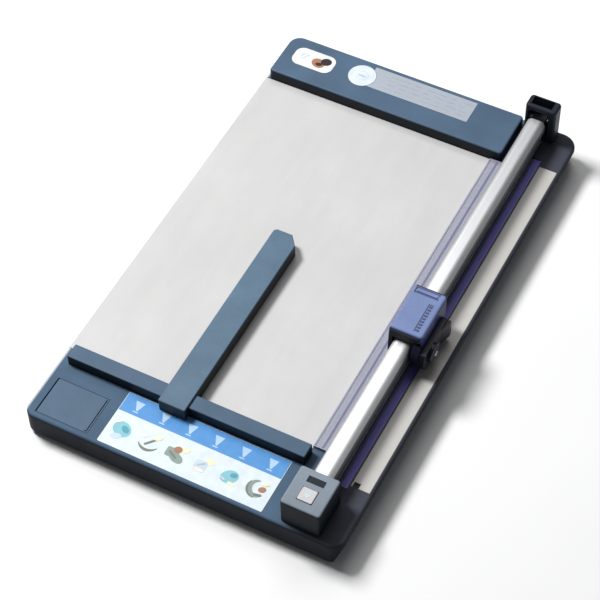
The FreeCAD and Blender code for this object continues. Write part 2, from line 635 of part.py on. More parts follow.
def make_clamp():
    """The clear strip that holds the paper down along the cut, with its grip pad."""
    strip = Piece("presser_strip")
    strip.box((D["flap_left"], D["flap_right"]), (D["flap_front"], D["flap_back"]),
              (D["flap_low"], D["flap_top"]))
    strip.blend(0.6, along("Y", high=(D["flap_left"] + 1, None, None)), bevel=True)
    strip.box((D["flap_right"], D["core_right"]), (D["core_front"], D["core_back"]),
              (D["core_low"], D["core_top"]))
    for y in CLAMP_PIN_YS:
        strip.rod("Z", (D["rail_x"], y), D["clamp_pin_r"] + 0.1, (20, 32), cut=True)
    pad_x, pad_y = (D["pad_left"], D["pad_right"]), (D["flap_front"] + 1, D["flap_back"] - 1)
    strip.box(pad_x, pad_y, (D["flap_low"] - 1, D["pad_low"] + 1), cut=True)
    pad = Piece("presser_pad")
    pad.box(pad_x, pad_y, (D["pad_low"], D["pad_low"] + 1))


def make_release():
    """The release button and the hook that its wedge pushes back."""
    button = Piece("release_button")
    half_x, half_y = D["button_wide"] / 2, D["button_long"] / 2
    flange_low = 45.3
    button.box((D["button_x"] - half_x, D["button_x"] + half_x),
               (D["button_y"] - half_y, D["button_y"] + half_y), (flange_low, D["button_top"]))
    button.blend(1.0, along("Z"))
    button.blend(0.5, at_height(D["button_top"]))
    button.box((90.6, 105.0), (-201.0, -190.5), (flange_low, flange_low + 1.2))
    button.outline("YZ", [(-194.85, 36.15), (-189.85, 31.15), (-187, 31.15), (-187, flange_low + 0.5),
                          (-194.85, flange_low + 0.5)], (96, 100))
    hook = Piece("latch_hook")
    hook.outline("YZ", [(-193, 13), (-187.8, 13), (-187.8, 13.6), (-189.6, 15.5), (-190.6, 15.5),
                        (-190.6, 30), (-190, 30), (-190, 31), (-195, 36), (-199, 36), (-199, 30),
                        (-193, 30)], (95.6, 100.4))


def round_rail_box(piece, grow, y, radius, cut):
    """A box around the rail, larger by a margin, with rounded long edges."""
    low_x, high_x = rail_left - grow, rail_right + grow
    low_z, high_z = rail_low - grow, rail_top + grow
    piece.box((low_x, high_x), y, (low_z, high_z), cut=cut)
    piece.blend(radius, along("Y", (low_x - 0.01, None, low_z - 0.01),
                              (high_x + 0.01, None, high_z + 0.01)))


def make_carriage():
    """The part of the carriage that stays on the rail: saddle, liners, spring pins and springs."""
    thick = D["liner_thick"]
    saddle = Piece("carriage_saddle")
    saddle_y = (D["saddle_front"], D["saddle_back"])
    saddle_x = (rail_left - thick - D["saddle_wall"], rail_right + thick + D["saddle_wall"])
    saddle.box(saddle_x, saddle_y, (rail_low - 2.1, D["saddle_top"]))
    saddle.blend(2.0, along("Y"))
    round_rail_box(saddle, thick, saddle_y, D["rail_round"] + thick, cut=True)
    saddle.box((93.5, 103.5), saddle_y, (rail_low - 3, rail_low), cut=True)
    for y in PRESS_PIN_YS:
        saddle.rod("Z", (D["rail_x"], y), 2.0, (49, D["saddle_top"]), cut=True)
    liners = []
    for y in ((-46.0, -38.0), (-16.0, -8.0)):
        ring = doc.addObject("Part::Cut", "liner")
        outer = rail_box("liner_outer", thick, y)
        ring.Base = round_long_edges(outer, D["rail_round"] + thick)
        inner = rail_box("liner_inner", D["liner_play"], (y[0] - 1, y[1] + 1))
        ring.Tool = round_long_edges(inner, D["rail_round"] + D["liner_play"])
        opened = doc.addObject("Part::Cut", "liner_open")
        opened.Base = ring
        mouth = doc.addObject("Part::Box", "liner_mouth")
        move_to(mouth, 94, y[0] - 1, rail_low - 3)
        for name, size in (("Length", 9), ("Width", y[1] - y[0] + 2), ("Height", 4)):
            bind(mouth, name, size)
        opened.Tool = mouth
        liners.append(opened)
    group("slide_liners", liners)
    pins = [cylinder("spring_pin", D["rail_x"], y, 49, 2.0, 4.6) for y in PRESS_PIN_YS]
    group("spring_pins", pins)
    coils = [coil("press_spring", "Z", (D["rail_x"], y, 51.6), 3.0, 0.3, 4.0, 3) for y in PRESS_PIN_YS]
    group("press_springs", coils)


def rail_box(name, grow, y):
    """A plain block around the rail, larger by a margin."""
    block = doc.addObject("Part::Box", name)
    move_to(block, rail_left - grow, y[0], rail_low - grow)
    bind(block, "Length", D["rail_size"] + as_size(grow) * 2)
    bind(block, "Width", y[1] - y[0])
    bind(block, "Height", D["rail_size"] + as_size(grow) * 2)
    return block


def round_long_edges(block, radius):
    """Round the edges of a block that run along Y."""
    doc.recompute()
    fillet = doc.addObject("Part::Fillet", f"{block.Name}_round")
    fillet.Base = block
    test = along("Y")
    value = as_size(radius).value
    fillet.Edges = [(i, value, value) for i, edge in enumerate(block.Shape.Edges, start=1) if test(edge)]
    return fillet


def make_press():
    """The blue cap that is pressed down to cut, the blade cartridge and the blade's axle and knob."""
    wall = D["car_wall"]
    cap = Piece("carriage_housing")
    thick = D["end_thick"]
    car_y = (D["car_front"] + thick, D["car_back"] - thick)
    low_left, low_right = D["car_left_low"], D["car_right_low"]
    cap.outline("XZ", [(D["car_left"], low_left), (D["car_left"] + 1, D["car_top"]),
                       (D["car_right"], D["car_top"]), (D["car_right"], low_right), (100, low_right),
                       (100, low_left)], car_y)
    cap.blend(3.0, along("Z", low=(D["car_right"] - TINY, None, None)))
    cap.blend(2.2, at_height(D["car_top"]))
    ceiling = D["car_top"] - 2.5
    right = D["car_right"] - 1.8
    cap.outline("XZ", [(D["car_left"] + wall, low_left - 1), (D["car_left"] + wall + 0.95, ceiling),
                       (right, ceiling), (right, low_left - 1)], (car_y[0] + 1.2, car_y[1] - 1.2), cut=True)
    slot_x = (rail_left - 0.8, rail_right + 0.8)
    cap.box(slot_x, (car_y[0] - 1, car_y[1] + 1), (low_left - 1, rail_top + 2.4), cut=True)
    cap.box((109, right), (car_y[0] - 1, car_y[0] + 1.2 + TINY), (low_right - 1, 52), cut=True)
    cap.rod("X", (D["blade_y"], D["blade_z"]), 5.8, (right - 1, D["car_right"] + 1), cut=True)
    # shallow grip recesses on top
    cap.box((89.5, 109), (-12.5, -5.6), (D["car_top"] - 0.8, D["car_top"] + 1), cut=True)
    cap.box((91, 107.5), (-10.4, -7.7), (D["car_top"] - 1, D["car_top"] - 0.2))
    cap.box((104.5, 108.5), (-45, -18), (D["car_top"] - 0.6, D["car_top"] + 1), cut=True)
    for name, y, edge in (("carriage_front_plate", (D["car_front"], car_y[0]), 52.2),
                          ("carriage_rear_plate", (car_y[1], D["car_back"]), low_right + 0.3)):
        end = Piece(name)
        end.outline("XZ", [(D["car_left"] + 0.9, low_left + 0.3), (D["car_left"] + 1.7, D["car_top"] - 1.8),
                           (D["car_right"] - 3, D["car_top"] - 1.8), (D["car_right"] - 3, edge), (108.8, edge),
                           (108.8, low_left + 0.3)], y)
        end.box(slot_x, (y[0] - 1, y[1] + 1), (low_left - 1, rail_top + 2.4), cut=True)
    guard = Piece("blade_cartridge")
    guard_x = (D["guard_left"], D["guard_right"])
    guard.rod("X", (D["blade_y"], D["blade_z"]), D["guard_r"], guard_x)
    guard.box(guard_x, (-57, -28), (46, 53), cut=True)
    guard.box(guard_x, (-57, -28), (23, 27), cut=True)
    guard.box(guard_x, (D["blade_y"], -14), (27, 46))
    guard.blend(2.0, along("X", low=(None, -15, None)))
    guard.outline("XY", [(D["guard_right"] - 0.5, -26), (D["guard_right"], -26), (121.5, -18), (121.5, -14.6),
                         (D["guard_right"] - 0.5, -14.6)], (29, 44.5))
    # hood over the front of the blade: a rim with a cheek on the rail's side
    guard.rod("X", (D["blade_y"], D["blade_z"]), D["hood_r"], (D["hood_left"], D["guard_left"]))
    guard.rod("X", (D["blade_y"], D["blade_z"]), D["blade_r"] + 0.5,
              (D["hood_left"] + 1, D["guard_left"]), cut=True)
    guard.box((107, D["guard_left"]), (D["car_front"] - 0.3, -20), (20, 60), cut=True)
    guard.box((107, D["guard_left"]), (-60, -20), (20, D["hood_low"]), cut=True)
    guard.rod("X", (D["blade_y"], D["blade_z"]), 5.5, (112.2, D["guard_left"] + 0.5))
    guard.rod("X", (D["blade_y"], D["blade_z"]), D["axle_r"], (112, 120), cut=True)
    axle = Piece("blade_axle")
    axle.rod("X", (D["blade_y"], D["blade_z"]), D["axle_r"], (109, 118.3))
    axle.rod("X", (D["blade_y"], D["blade_z"]), 3.2, (109, 109.85))
    knob = Piece("blade_knob")
    knob.rod("X", (D["blade_y"], D["blade_z"]), D["knob_r"], (118.5, 121.5))
    knob.blend(0.8, lambda edge: edge.BoundBox.XLength < 1e-4 and edge.BoundBox.XMin > 121.4)
    knob.rod("X", (D["blade_y"], D["blade_z"]), 2.2, (120, 123), cut=True)
    screw = Piece("knob_screw")
    screw.rod("X", (D["blade_y"], D["blade_z"]), 2.15, (120.1, 122.6))
    screw.blend(0.6, lambda edge: edge.BoundBox.XLength < 1e-4 and edge.BoundBox.XMin > 122.5)


def make_blade():
    """The disc blade, ground to an edge, and its hub."""
    blade = Piece("blade_disc")
    left, right = D["blade_x"], D["blade_x"] + D["blade_thick"]
    bore = D["axle_r"] + D["pin_play"]
    blade.turned(D["blade_y"], D["blade_z"], [
        (left, bore), (left, D["blade_r"] - 1.2), (left + 0.15, D["blade_r"]), (right - 0.15, D["blade_r"]),
        (right, D["blade_r"] - 1.2), (right, bore)])
    hub = Piece("blade_hub")
    hub.turned(D["blade_y"], D["blade_z"], [(right, bore), (right, 5.0), (112, 5.0), (112, bore)])


def make_guide():
    """The sliding paper guide: a hollow bar that straddles the fence."""
    bar = Piece("guide_bar")
    left, right = D["guide_left"], D["guide_right"]
    front, back = D["guide_front"], D["guide_back"]
    wall = D["guide_wall"]
    bevel_x, bevel_y = D["guide_bevel_x"], D["guide_bevel_y"]
    outline = [(left, front), (right, front), (right, back - bevel_y), (right - bevel_x, back),
               (left + 2, back), (left, back - 2)]
    bar.outline("XY", outline, (D["guide_low"], D["guide_top"]))
    bar.blend(1.0, along("Z", high=(None, D["guide_front"] + 1, None)))
    bar.blend(0.5, at_height(D["guide_top"]), bevel=True)
    inner = [(left + wall, front + 20), (right - wall, front + 20), (right - wall, back - bevel_y - 1),
             (right - bevel_x - 1, back - wall), (left + wall, back - wall)]
    bar.outline("XY", inner, (D["guide_low"], D["guide_top"] - wall), cut=True)
    bar.box((left - 1, right + 1), (D["fence_front"] - 0.3, D["fence_back"] + 0.3),
            (D["guide_low"], D["fence_top"] + 0.3), cut=True)


def check_and_export():
    """Stop if anything failed to compute; otherwise write one STEP file for each node."""
    doc.recompute()
    for thing in doc.Objects:
        if "Invalid" in thing.State or "Error" in thing.State:
            raise ValueError(f"{thing.Label} did not compute: {thing.State}")
        if hasattr(thing, "Shape") and thing.Shape.isNull():
            raise ValueError(f"{thing.Label} has no shape")
    os.makedirs("parts", exist_ok=True)
    for node in NODES:
        if not node.Shape.isValid() or not node.Shape.Solids:
            raise ValueError(f"{node.Label} is not a valid solid")
        node.Shape.exportStep(f"parts/{node.Label}.step")


make_base_tray()
make_underside()
make_deck_plates()
make_caps()
make_storage_lid()
make_rear_post()
make_latch_keeper()
make_rail()
make_head()
make_clamp()
make_release()
make_carriage()
make_press()
make_blade()
make_guide()
check_and_export()
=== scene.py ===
import math

import bmesh
import bpy
from mathutils import Matrix, Vector


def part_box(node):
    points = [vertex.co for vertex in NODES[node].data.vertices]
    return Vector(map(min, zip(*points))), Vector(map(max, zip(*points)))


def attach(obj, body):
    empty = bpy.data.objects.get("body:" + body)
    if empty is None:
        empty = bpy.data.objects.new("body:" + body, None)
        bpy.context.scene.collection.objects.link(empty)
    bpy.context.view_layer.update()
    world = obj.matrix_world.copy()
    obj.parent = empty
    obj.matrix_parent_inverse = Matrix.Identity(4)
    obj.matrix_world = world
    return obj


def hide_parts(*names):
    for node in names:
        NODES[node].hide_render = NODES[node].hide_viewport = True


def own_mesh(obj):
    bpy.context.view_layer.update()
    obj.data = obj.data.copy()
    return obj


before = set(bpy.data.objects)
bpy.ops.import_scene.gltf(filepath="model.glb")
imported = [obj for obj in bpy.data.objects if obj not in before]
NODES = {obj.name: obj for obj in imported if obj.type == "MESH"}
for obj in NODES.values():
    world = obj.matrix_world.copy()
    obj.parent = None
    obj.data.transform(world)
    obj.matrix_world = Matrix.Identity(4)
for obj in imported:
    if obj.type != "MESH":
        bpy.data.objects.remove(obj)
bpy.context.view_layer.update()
MM = 0.001


# ---------------------------------------------------------------- materials
class Shade:
    """A material under construction: its node tree and its principled shader."""

    def __init__(self, name, roughness=0.5, metallic=0.0, **fixed):
        self.material = bpy.data.materials.new(name)
        self.material.use_nodes = True
        self.nodes = self.material.node_tree.nodes
        self.links = self.material.node_tree.links
        self.shader = self.nodes["Principled BSDF"]
        self.shader.inputs["Roughness"].default_value = roughness
        self.shader.inputs["Metallic"].default_value = metallic
        for socket, value in fixed.items():
            self.shader.inputs[socket.replace("_", " ")].default_value = value
        self.place = self.nodes.new("ShaderNodeTexCoord").outputs["Object"]
        self.height = None

    def stretch(self, scale):
        """Object coordinates scaled by a factor on each axis."""
        mapping = self.nodes.new("ShaderNodeMapping")
        mapping.inputs["Scale"].default_value = scale
        self.links.new(self.place, mapping.inputs["Vector"])
        return mapping.outputs["Vector"]

    def noise(self, scale, detail=4.0, rough=0.55, stretch=(1, 1, 1)):
        """A cloud pattern; scale is its number of features per metre."""
        node = self.nodes.new("ShaderNodeTexNoise")
        node.inputs["Scale"].default_value = scale
        node.inputs["Detail"].default_value = detail
        node.inputs["Roughness"].default_value = rough
        self.links.new(self.stretch(stretch), node.inputs["Vector"])
        return node.outputs["Fac"]

    def ramp(self, factor, stops):
        """Colours along a factor: (position, colour) pairs."""
        node = self.nodes.new("ShaderNodeValToRGB")
        elements = node.color_ramp.elements
        while len(elements) < len(stops):
            elements.new(0.5)
        for element, (position, colour) in zip(elements, stops):
            element.position = position
            element.color = (*colour, 1) if len(colour) == 3 else colour
        self.links.new(factor, node.inputs["Fac"])
        return node.outputs["Color"]

    def mix(self, factor, first, second, mode="MIX"):
        """Two colours mixed by a factor."""
        node = self.nodes.new("ShaderNodeMix")
        node.data_type = "RGBA"
        node.blend_type = mode
        for value, socket in ((factor, node.inputs[0]), (first, node.inputs[6]), (second, node.inputs[7])):
            if hasattr(value, "is_linked"):
                self.links.new(value, socket)
            elif isinstance(value, (int, float)):
                socket.default_value = value
            else:
                socket.default_value = (*value, 1)
        return node.outputs[2]

    def spread(self, factor, low, high):
        """A factor brought into a range."""
        node = self.nodes.new("ShaderNodeMapRange")
        node.inputs["To Min"].default_value = low
        node.inputs["To Max"].default_value = high
        self.links.new(factor, node.inputs["Value"])
        return node.outputs["Result"]

    def axis(self, name):
        """One coordinate of the surface point, in metres."""
        node = self.nodes.new("ShaderNodeSeparateXYZ")
        self.links.new(self.place, node.inputs["Vector"])
        return node.outputs[name]

    def step(self, value, edge, soft=0.0002):
        """0 below an edge and 1 above it, with a short soft change."""
        node = self.nodes.new("ShaderNodeMapRange")
        node.inputs["From Min"].default_value = edge - soft
        node.inputs["From Max"].default_value = edge + soft
        self.links.new(value, node.inputs["Value"])
        return node.outputs["Result"]

    def upward(self, low=0.35, high=0.85):
        """0 on steep faces and 1 on faces that look up."""
        node = self.nodes.new("ShaderNodeNewGeometry")
        split = self.nodes.new("ShaderNodeSeparateXYZ")
        self.links.new(node.outputs["Normal"], split.inputs["Vector"])
        level = self.nodes.new("ShaderNodeMapRange")
        level.inputs["From Min"].default_value = low
        level.inputs["From Max"].default_value = high
        self.links.new(split.outputs["Z"], level.inputs["Value"])
        return level.outputs["Result"]

    def colour(self, value):
        if hasattr(value, "is_linked"):
            self.links.new(value, self.shader.inputs["Base Color"])
        else:
            self.shader.inputs["Base Color"].default_value = (*value, 1)
        return self

    def roughness(self, value):
        self.links.new(value, self.shader.inputs["Roughness"])
        return self

    def bump(self, factor, strength, distance=0.0001):
        """Adds one layer of relief."""
        node = self.nodes.new("ShaderNodeBump")
        node.inputs["Strength"].default_value = strength
        node.inputs["Distance"].default_value = distance
        self.links.new(factor, node.inputs["Height"])
        if self.height:
            self.links.new(self.height, node.inputs["Normal"])
        self.height = node.outputs["Normal"]
        self.links.new(self.height, self.shader.inputs["Normal"])
        return self


def shade_colour(colour, factor):
    return tuple(min(1.0, channel * factor) for channel in colour)


def moulded(name, colour, roughness=0.45, grain=2600, relief=0.12, vary=0.12, painted_side_shade=None, **fixed):
    """Moulded plastic: spark-eroded grain, faint flow variation, and painted shade that gives steep sides
    a deeper colour.
    """
    shade = Shade(name, roughness, **fixed)
    flow = shade.noise(28, 3)
    base = shade.ramp(flow, [(0.3, shade_colour(colour, 1 - vary)), (0.7, shade_colour(colour, 1 + vary))])
    # painted shade: steep faces take the darker side colour, standing in for the shade they fall in
    if painted_side_shade:
        base = shade.mix(shade.upward(), painted_side_shade, base)
    speck = shade.noise(grain * 0.7, 2)
    fine = shade.ramp(speck, [(0.35, (0.88, 0.88, 0.88)), (0.65, (1.0, 1.0, 1.0))])
    shade.colour(shade.mix(1.0, base, fine, "MULTIPLY"))
    shade.roughness(shade.spread(shade.noise(60, 5), roughness - 0.06, roughness + 0.10))
    shade.bump(shade.noise(grain, 3), relief)
    shade.bump(flow, 0.04, 0.0005)
    return shade.material


def brushed(name, colour, roughness=0.3, along="Y", vary=0.10, relief=0.08, metallic=1.0):
    """Metal with fine drawing lines along one axis."""
    shade = Shade(name, roughness, metallic)
    scale = {"X": (0.02, 1, 1), "Y": (1, 0.02, 1), "Z": (1, 1, 0.02)}[along]
    lines = shade.noise(2200, 3, 0.6, scale)
    broad = shade.noise(18, 3)
    base = shade.ramp(lines, [(0.3, shade_colour(colour, 1 - vary)),
                              (0.7, shade_colour(colour, 1 + vary * 0.6))])
    patches = shade.ramp(broad, [(0.3, shade_colour(colour, 0.8)), (0.7, colour)])
    shade.colour(shade.mix(0.25, base, patches))
    shade.roughness(shade.spread(lines, roughness - 0.07, roughness + 0.10))
    shade.bump(lines, relief, 0.00005)
    return shade.material


def put(node, material):
    """Gives a CAD node one material."""
    slots = NODES[node].material_slots
    if not slots:
        NODES[node].data.materials.append(material)
    for slot in NODES[node].material_slots:
        slot.material = material


SLATE = (0.072, 0.122, 0.190)
# painted shade: this near-black colour, and the side colours passed to the materials below, darken steep
# faces
SLATE_PAINTED_SHADE = (0.010, 0.014, 0.021)
BODY_SLATE = moulded("slate_plastic", SLATE, 0.46, painted_side_shade=SLATE_PAINTED_SHADE, Specular_IOR_Level=0.16)
HEAD_SLATE = moulded("head_plastic", (0.235, 0.28, 0.33), 0.42, painted_side_shade=SLATE_PAINTED_SHADE, Specular_IOR_Level=0.07)
POST_SLATE = moulded("post_plastic", (0.014, 0.020, 0.028), 0.42, painted_side_shade=(0.016, 0.022, 0.030),
                     Specular_IOR_Level=0.14)
GUIDE_SLATE = moulded("guide_plastic", (0.100, 0.165, 0.235), 0.44, painted_side_shade=(0.030, 0.036, 0.042),
                      Specular_IOR_Level=0.16)
BLACK = moulded("black_plastic", (0.010, 0.011, 0.013), 0.5, Specular_IOR_Level=0.2)
RUBBER = moulded("foot_rubber_grain", (0.02, 0.02, 0.022), 0.8, grain=1500, relief=0.3)
LAVENDER = moulded("channel_plastic", (0.07, 0.07, 0.20), 0.35, painted_side_shade=(0.05, 0.05, 0.13))
WHITE_PLASTIC = moulded("button_plastic", (0.56, 0.54, 0.55), 0.4, relief=0.06, vary=0.05)
LINER = moulded("liner_plastic", (0.62, 0.62, 0.58), 0.4, relief=0.05)
CAP_BLUE = moulded("cap_plastic", (0.165, 0.225, 0.425), 0.36, relief=0.07, painted_side_shade=(0.026, 0.034, 0.145),
                   Specular_IOR_Level=0.25)
CAP_DEEP = moulded("cap_grip_plastic", (0.045, 0.060, 0.200), 0.4, relief=0.06)
KNOB_BLUE = moulded("cartridge_plastic", (0.010, 0.011, 0.025), 0.36, relief=0.08, Specular_IOR_Level=0.25)
PIN_METAL = brushed("pin_steel_ground", (0.55, 0.56, 0.58), 0.28, "X")
SCREW_METAL = brushed("screw_steel_plated", (0.50, 0.51, 0.52), 0.34, "Z")
SPRING_METAL = brushed("spring_steel_drawn", (0.36, 0.37, 0.39), 0.3, "X")
BLADE_METAL = brushed("blade_steel_ground", (0.66, 0.67, 0.70), 0.2, "Y")


def body_material():
    """The base's plastic: slate on top, painted shade that makes its sides near black and darkens the end
    past the cut, and a painted highlight along the left rim.
    """
    shade = Shade("base_plastic", 0.5, Specular_IOR_Level=0.07)
    flow = shade.noise(24, 3)
    base = shade.ramp(flow, [(0.3, shade_colour(SLATE, 0.90)), (0.7, shade_colour(SLATE, 1.12))])
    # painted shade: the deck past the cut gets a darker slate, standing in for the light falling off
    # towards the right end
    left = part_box("mat_channel")[0][0] - 12 * MM
    base = shade.mix(shade.step(shade.axis("X"), left, 0.014), base, (0.056, 0.061, 0.080))
    # painted shade: steep faces of the base go near black
    base = shade.mix(shade.upward(), SLATE_PAINTED_SHADE, base)
    # painted highlight: the rim along the left edge is painted paler where its rounding catches the light
    low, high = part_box("base_tray")
    rim_highlight_mask = shade.step(shade.axis("X"), low[0] + 2.2 * MM, 0.0005)
    wear_and_highlight = shade.mix(shade.step(shade.axis("Z"), high[2] - 1.2 * MM, 0.0005), base, (0.42, 0.45, 0.48))
    base = shade.mix(rim_highlight_mask, wear_and_highlight, base)
    speck = shade.ramp(shade.noise(1800, 2), [(0.35, (0.88, 0.88, 0.88)), (0.65, (1.0, 1.0, 1.0))])
    shade.colour(shade.mix(1.0, base, speck, "MULTIPLY"))
    shade.roughness(shade.spread(shade.noise(60, 5), 0.42, 0.58))
    shade.bump(shade.noise(2600, 3), 0.12)
    shade.bump(flow, 0.04, 0.0005)
    return shade.material


def bed_material(name, colour):
    """Light painted sheet: fine orange peel, soft cloudy sheen and faint handling marks."""
    shade = Shade(name, 0.38, Coat_Weight=0.15, Coat_Roughness=0.25)
    cloud = shade.noise(14, 6, 0.62)
    base = shade.ramp(cloud, [(0.30, shade_colour(colour, 0.95)), (0.55, colour),
                              (0.75, shade_colour(colour, 1.07))])
    smear = shade.noise(90, 4, 0.6, (1, 0.15, 1))
    streak = shade.ramp(smear, [(0.35, (0.965, 0.965, 0.97)), (0.6, (1, 1, 1))])
    shade.colour(shade.mix(1.0, base, streak, "MULTIPLY"))
    shade.roughness(shade.spread(cloud, 0.30, 0.48))
    shade.bump(shade.noise(900, 2), 0.05)
    return shade.material


def rail_material():
    """Satin anodised aluminium, drawn lengthwise, a little darker towards the hinge end, with painted
    shade on its steep flanks.
    """
    shade = Shade("rail_anodised", 0.5, 0.75, Specular_IOR_Level=0.3)
    low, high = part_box("rail_tube")
    along = shade.nodes.new("ShaderNodeMapRange")
    along.inputs["From Min"].default_value = low[1]
    along.inputs["From Max"].default_value = high[1]
    shade.links.new(shade.axis("Y"), along.inputs["Value"])
    lines = shade.noise(2200, 3, 0.6, (1, 0.02, 1))
    near = shade.ramp(lines, [(0.3, (0.80, 0.81, 0.82)), (0.7, (0.88, 0.89, 0.90))])
    far = shade.ramp(lines, [(0.3, (0.42, 0.43, 0.44)), (0.7, (0.50, 0.51, 0.52))])
    # painted shade: the tube's steep flanks are coloured dark, standing in for the shade on its sides
    painted_flank_shade = shade.upward(0.10, 0.75)
    shade.colour(shade.mix(painted_flank_shade, (0.13, 0.13, 0.14), shade.mix(along.outputs["Result"], near, far)))
    shade.roughness(shade.spread(lines, 0.44, 0.60))
    shade.bump(lines, 0.08, 0.00005)
    return shade.material


def mat_material():
    """The cutting mat: a violet stripe beside a darker grey-blue stripe of painted shadow from the rail,
    with fine score marks along the cut.
    """
    shade = Shade("mat_stripes", 0.42)
    # painted shadow: the grey-blue stripe left of this step stands in for the rail's shadow on the mat
    right = shade.step(shade.axis("X"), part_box("cutting_mat")[0][0] + 3.7 * MM)
    base = shade.mix(right, (0.15, 0.15, 0.25), (0.19, 0.17, 0.62))
    score = shade.noise(2600, 3, 0.6, (1, 0.012, 1))
    wear_and_highlight = shade.ramp(score, [(0.3, (0.75, 0.75, 0.8)), (0.6, (1, 1, 1))])
    shade.colour(shade.mix(1.0, base, wear_and_highlight, "MULTIPLY"))
    shade.roughness(shade.spread(score, 0.34, 0.55))
    shade.bump(score, 0.25)
    return shade.material


def strip_material():
    """The clear clamp strip, tinted lavender: light passes through, with fine extrusion lines."""
    shade = Shade("clear_strip_lavender", 0.14, IOR=1.49, Transmission_Weight=0.45)
    lines = shade.noise(1800, 2, 0.5, (1, 0.01, 1))
    shade.colour(shade.ramp(lines, [(0.3, (0.40, 0.42, 0.50)), (0.7, (0.50, 0.52, 0.60))]))
    shade.roughness(shade.spread(lines, 0.10, 0.24))
    shade.bump(lines, 0.08, 0.00005)
    return shade.material


def film_material(name, colour, roughness=0.3):
    """Printed film: ink density varies a little and the gloss has a faint orange peel."""
    shade = Shade(name, roughness, Specular_IOR_Level=0.25)
    ink = shade.noise(160, 4)
    shade.colour(shade.ramp(ink, [(0.3, shade_colour(colour, 0.93)), (0.7, shade_colour(colour, 1.05))]))
    shade.roughness(shade.spread(shade.noise(700, 2), roughness - 0.05, roughness + 0.08))
    shade.bump(shade.noise(1200, 2), 0.03)
    return shade.material


BODY = body_material()
RAIL_METAL = rail_material()
BED = bed_material("bed_paint", (0.515, 0.513, 0.51))
OUTER = bed_material("outer_paint", (0.47, 0.455, 0.43))
MAT = mat_material()
STRIP = strip_material()
PAD = moulded("pad_rubber_violet", (0.16, 0.13, 0.46), 0.55, grain=1500, relief=0.2)
LABEL_WHITE = film_material("label_white", (0.66, 0.74, 0.78))
PLATE_SILVER = brushed("plate_foil", (0.36, 0.40, 0.45), 0.5, "X", vary=0.06, relief=0.04, metallic=0.35)
ROUNDEL_WHITE = film_material("roundel_film", (0.62, 0.68, 0.76))
BADGE_WHITE = film_material("badge_film", (0.72, 0.72, 0.74))

FINISHES = {
    BODY: ["base_tray"],
    BODY_SLATE: ["fence_bar", "rear_cover", "storage_lid"],
    HEAD_SLATE: ["head_shell"],
    POST_SLATE: ["rear_post"],
    GUIDE_SLATE: ["guide_bar"],
    BLACK: ["bottom_cover", "hinge_block", "rail_end_cap", "head_base", "latch_hook", "carriage_saddle",
            "blade_hub", "carriage_front_plate", "carriage_rear_plate"],
    RUBBER: ["rubber_feet"],
    LAVENDER: ["mat_channel"],
    WHITE_PLASTIC: ["release_button"],
    LINER: ["slide_liners"],
    CAP_BLUE: ["carriage_housing"],
    KNOB_BLUE: ["blade_cartridge", "blade_knob"],
    RAIL_METAL: ["rail_tube"],
    PIN_METAL: ["hinge_pin", "lid_pin", "clamp_pins", "spring_pins", "blade_axle", "knob_screw"],
    SCREW_METAL: ["cover_screws", "fence_screws", "rear_cover_screws", "post_screws", "head_screws"],
    SPRING_METAL: ["latch_keeper", "clamp_springs", "button_springs", "latch_spring", "press_springs"],
    BLADE_METAL: ["blade_disc"],
    BED: ["bed_plate"],
    OUTER: ["outer_plate"],
    MAT: ["cutting_mat"],
    STRIP: ["presser_strip"],
    PAD: ["presser_pad"],
    LABEL_WHITE: ["front_label"],
    PLATE_SILVER: ["rear_nameplate"],
    ROUNDEL_WHITE: ["rear_roundel"],
    BADGE_WHITE: ["rear_badge"],
}
for finish, names in FINISHES.items():
    for name in names:
        put(name, finish)


# ---------------------------------------------------------------- raised prints and small mouldings
FILM = 0.06 * MM


def ellipse(cx, cy, rx, ry, turn=0.0, count=28):
    """Points round an ellipse, turned by an angle in degrees."""
    a = math.radians(turn)
    points = []
    for index in range(count):
        t = 2 * math.pi * index / count
        x, y = rx * math.cos(t), ry * math.sin(t)
        points.append((cx + x * math.cos(a) - y * math.sin(a), cy + x * math.sin(a) + y * math.cos(a)))
    return points


def bar(cx, cy, long, wide, turn=0.0):
    """A straight stroke with rounded ends."""
    a = math.radians(turn)
    points = []
    for end in (1, -1):
        for index in range(7):
            t = math.radians(-90 + 30 * index) + (0 if end == 1 else math.pi)
            x = end * (long - wide) / 2 + math.cos(t) * wide / 2
            y = math.sin(t) * wide / 2
            points.append((cx + x * math.cos(a) - y * math.sin(a), cy + x * math.sin(a) + y * math.cos(a)))
    return points


def rounded(x0, y0, x1, y1, radius, count=6):
    """A rectangle with rounded corners."""
    points = []
    corners = ((x1 - radius, y0 + radius, -90), (x1 - radius, y1 - radius, 0),
               (x0 + radius, y1 - radius, 90), (x0 + radius, y0 + radius, 180))
    for cx, cy, start in corners:
        for index in range(count + 1):
            t = math.radians(start + 90 * index / count)
            points.append((cx + radius * math.cos(t), cy + radius * math.sin(t)))
    return points


def crescent(cx, cy, radius, thick, start, sweep, count=16):
    """A curved stroke that thins towards its ends."""
    outer, inner = [], []
    for index in range(count + 1):
        share = index / count
        t = math.radians(start + sweep * share)
        half = thick * (0.25 + 0.75 * math.sin(math.pi * share)) / 2
        outer.append((cx + (radius + half) * math.cos(t), cy + (radius + half) * math.sin(t)))
        inner.append((cx + (radius - half) * math.cos(t), cy + (radius - half) * math.sin(t)))
    return outer + inner[::-1]


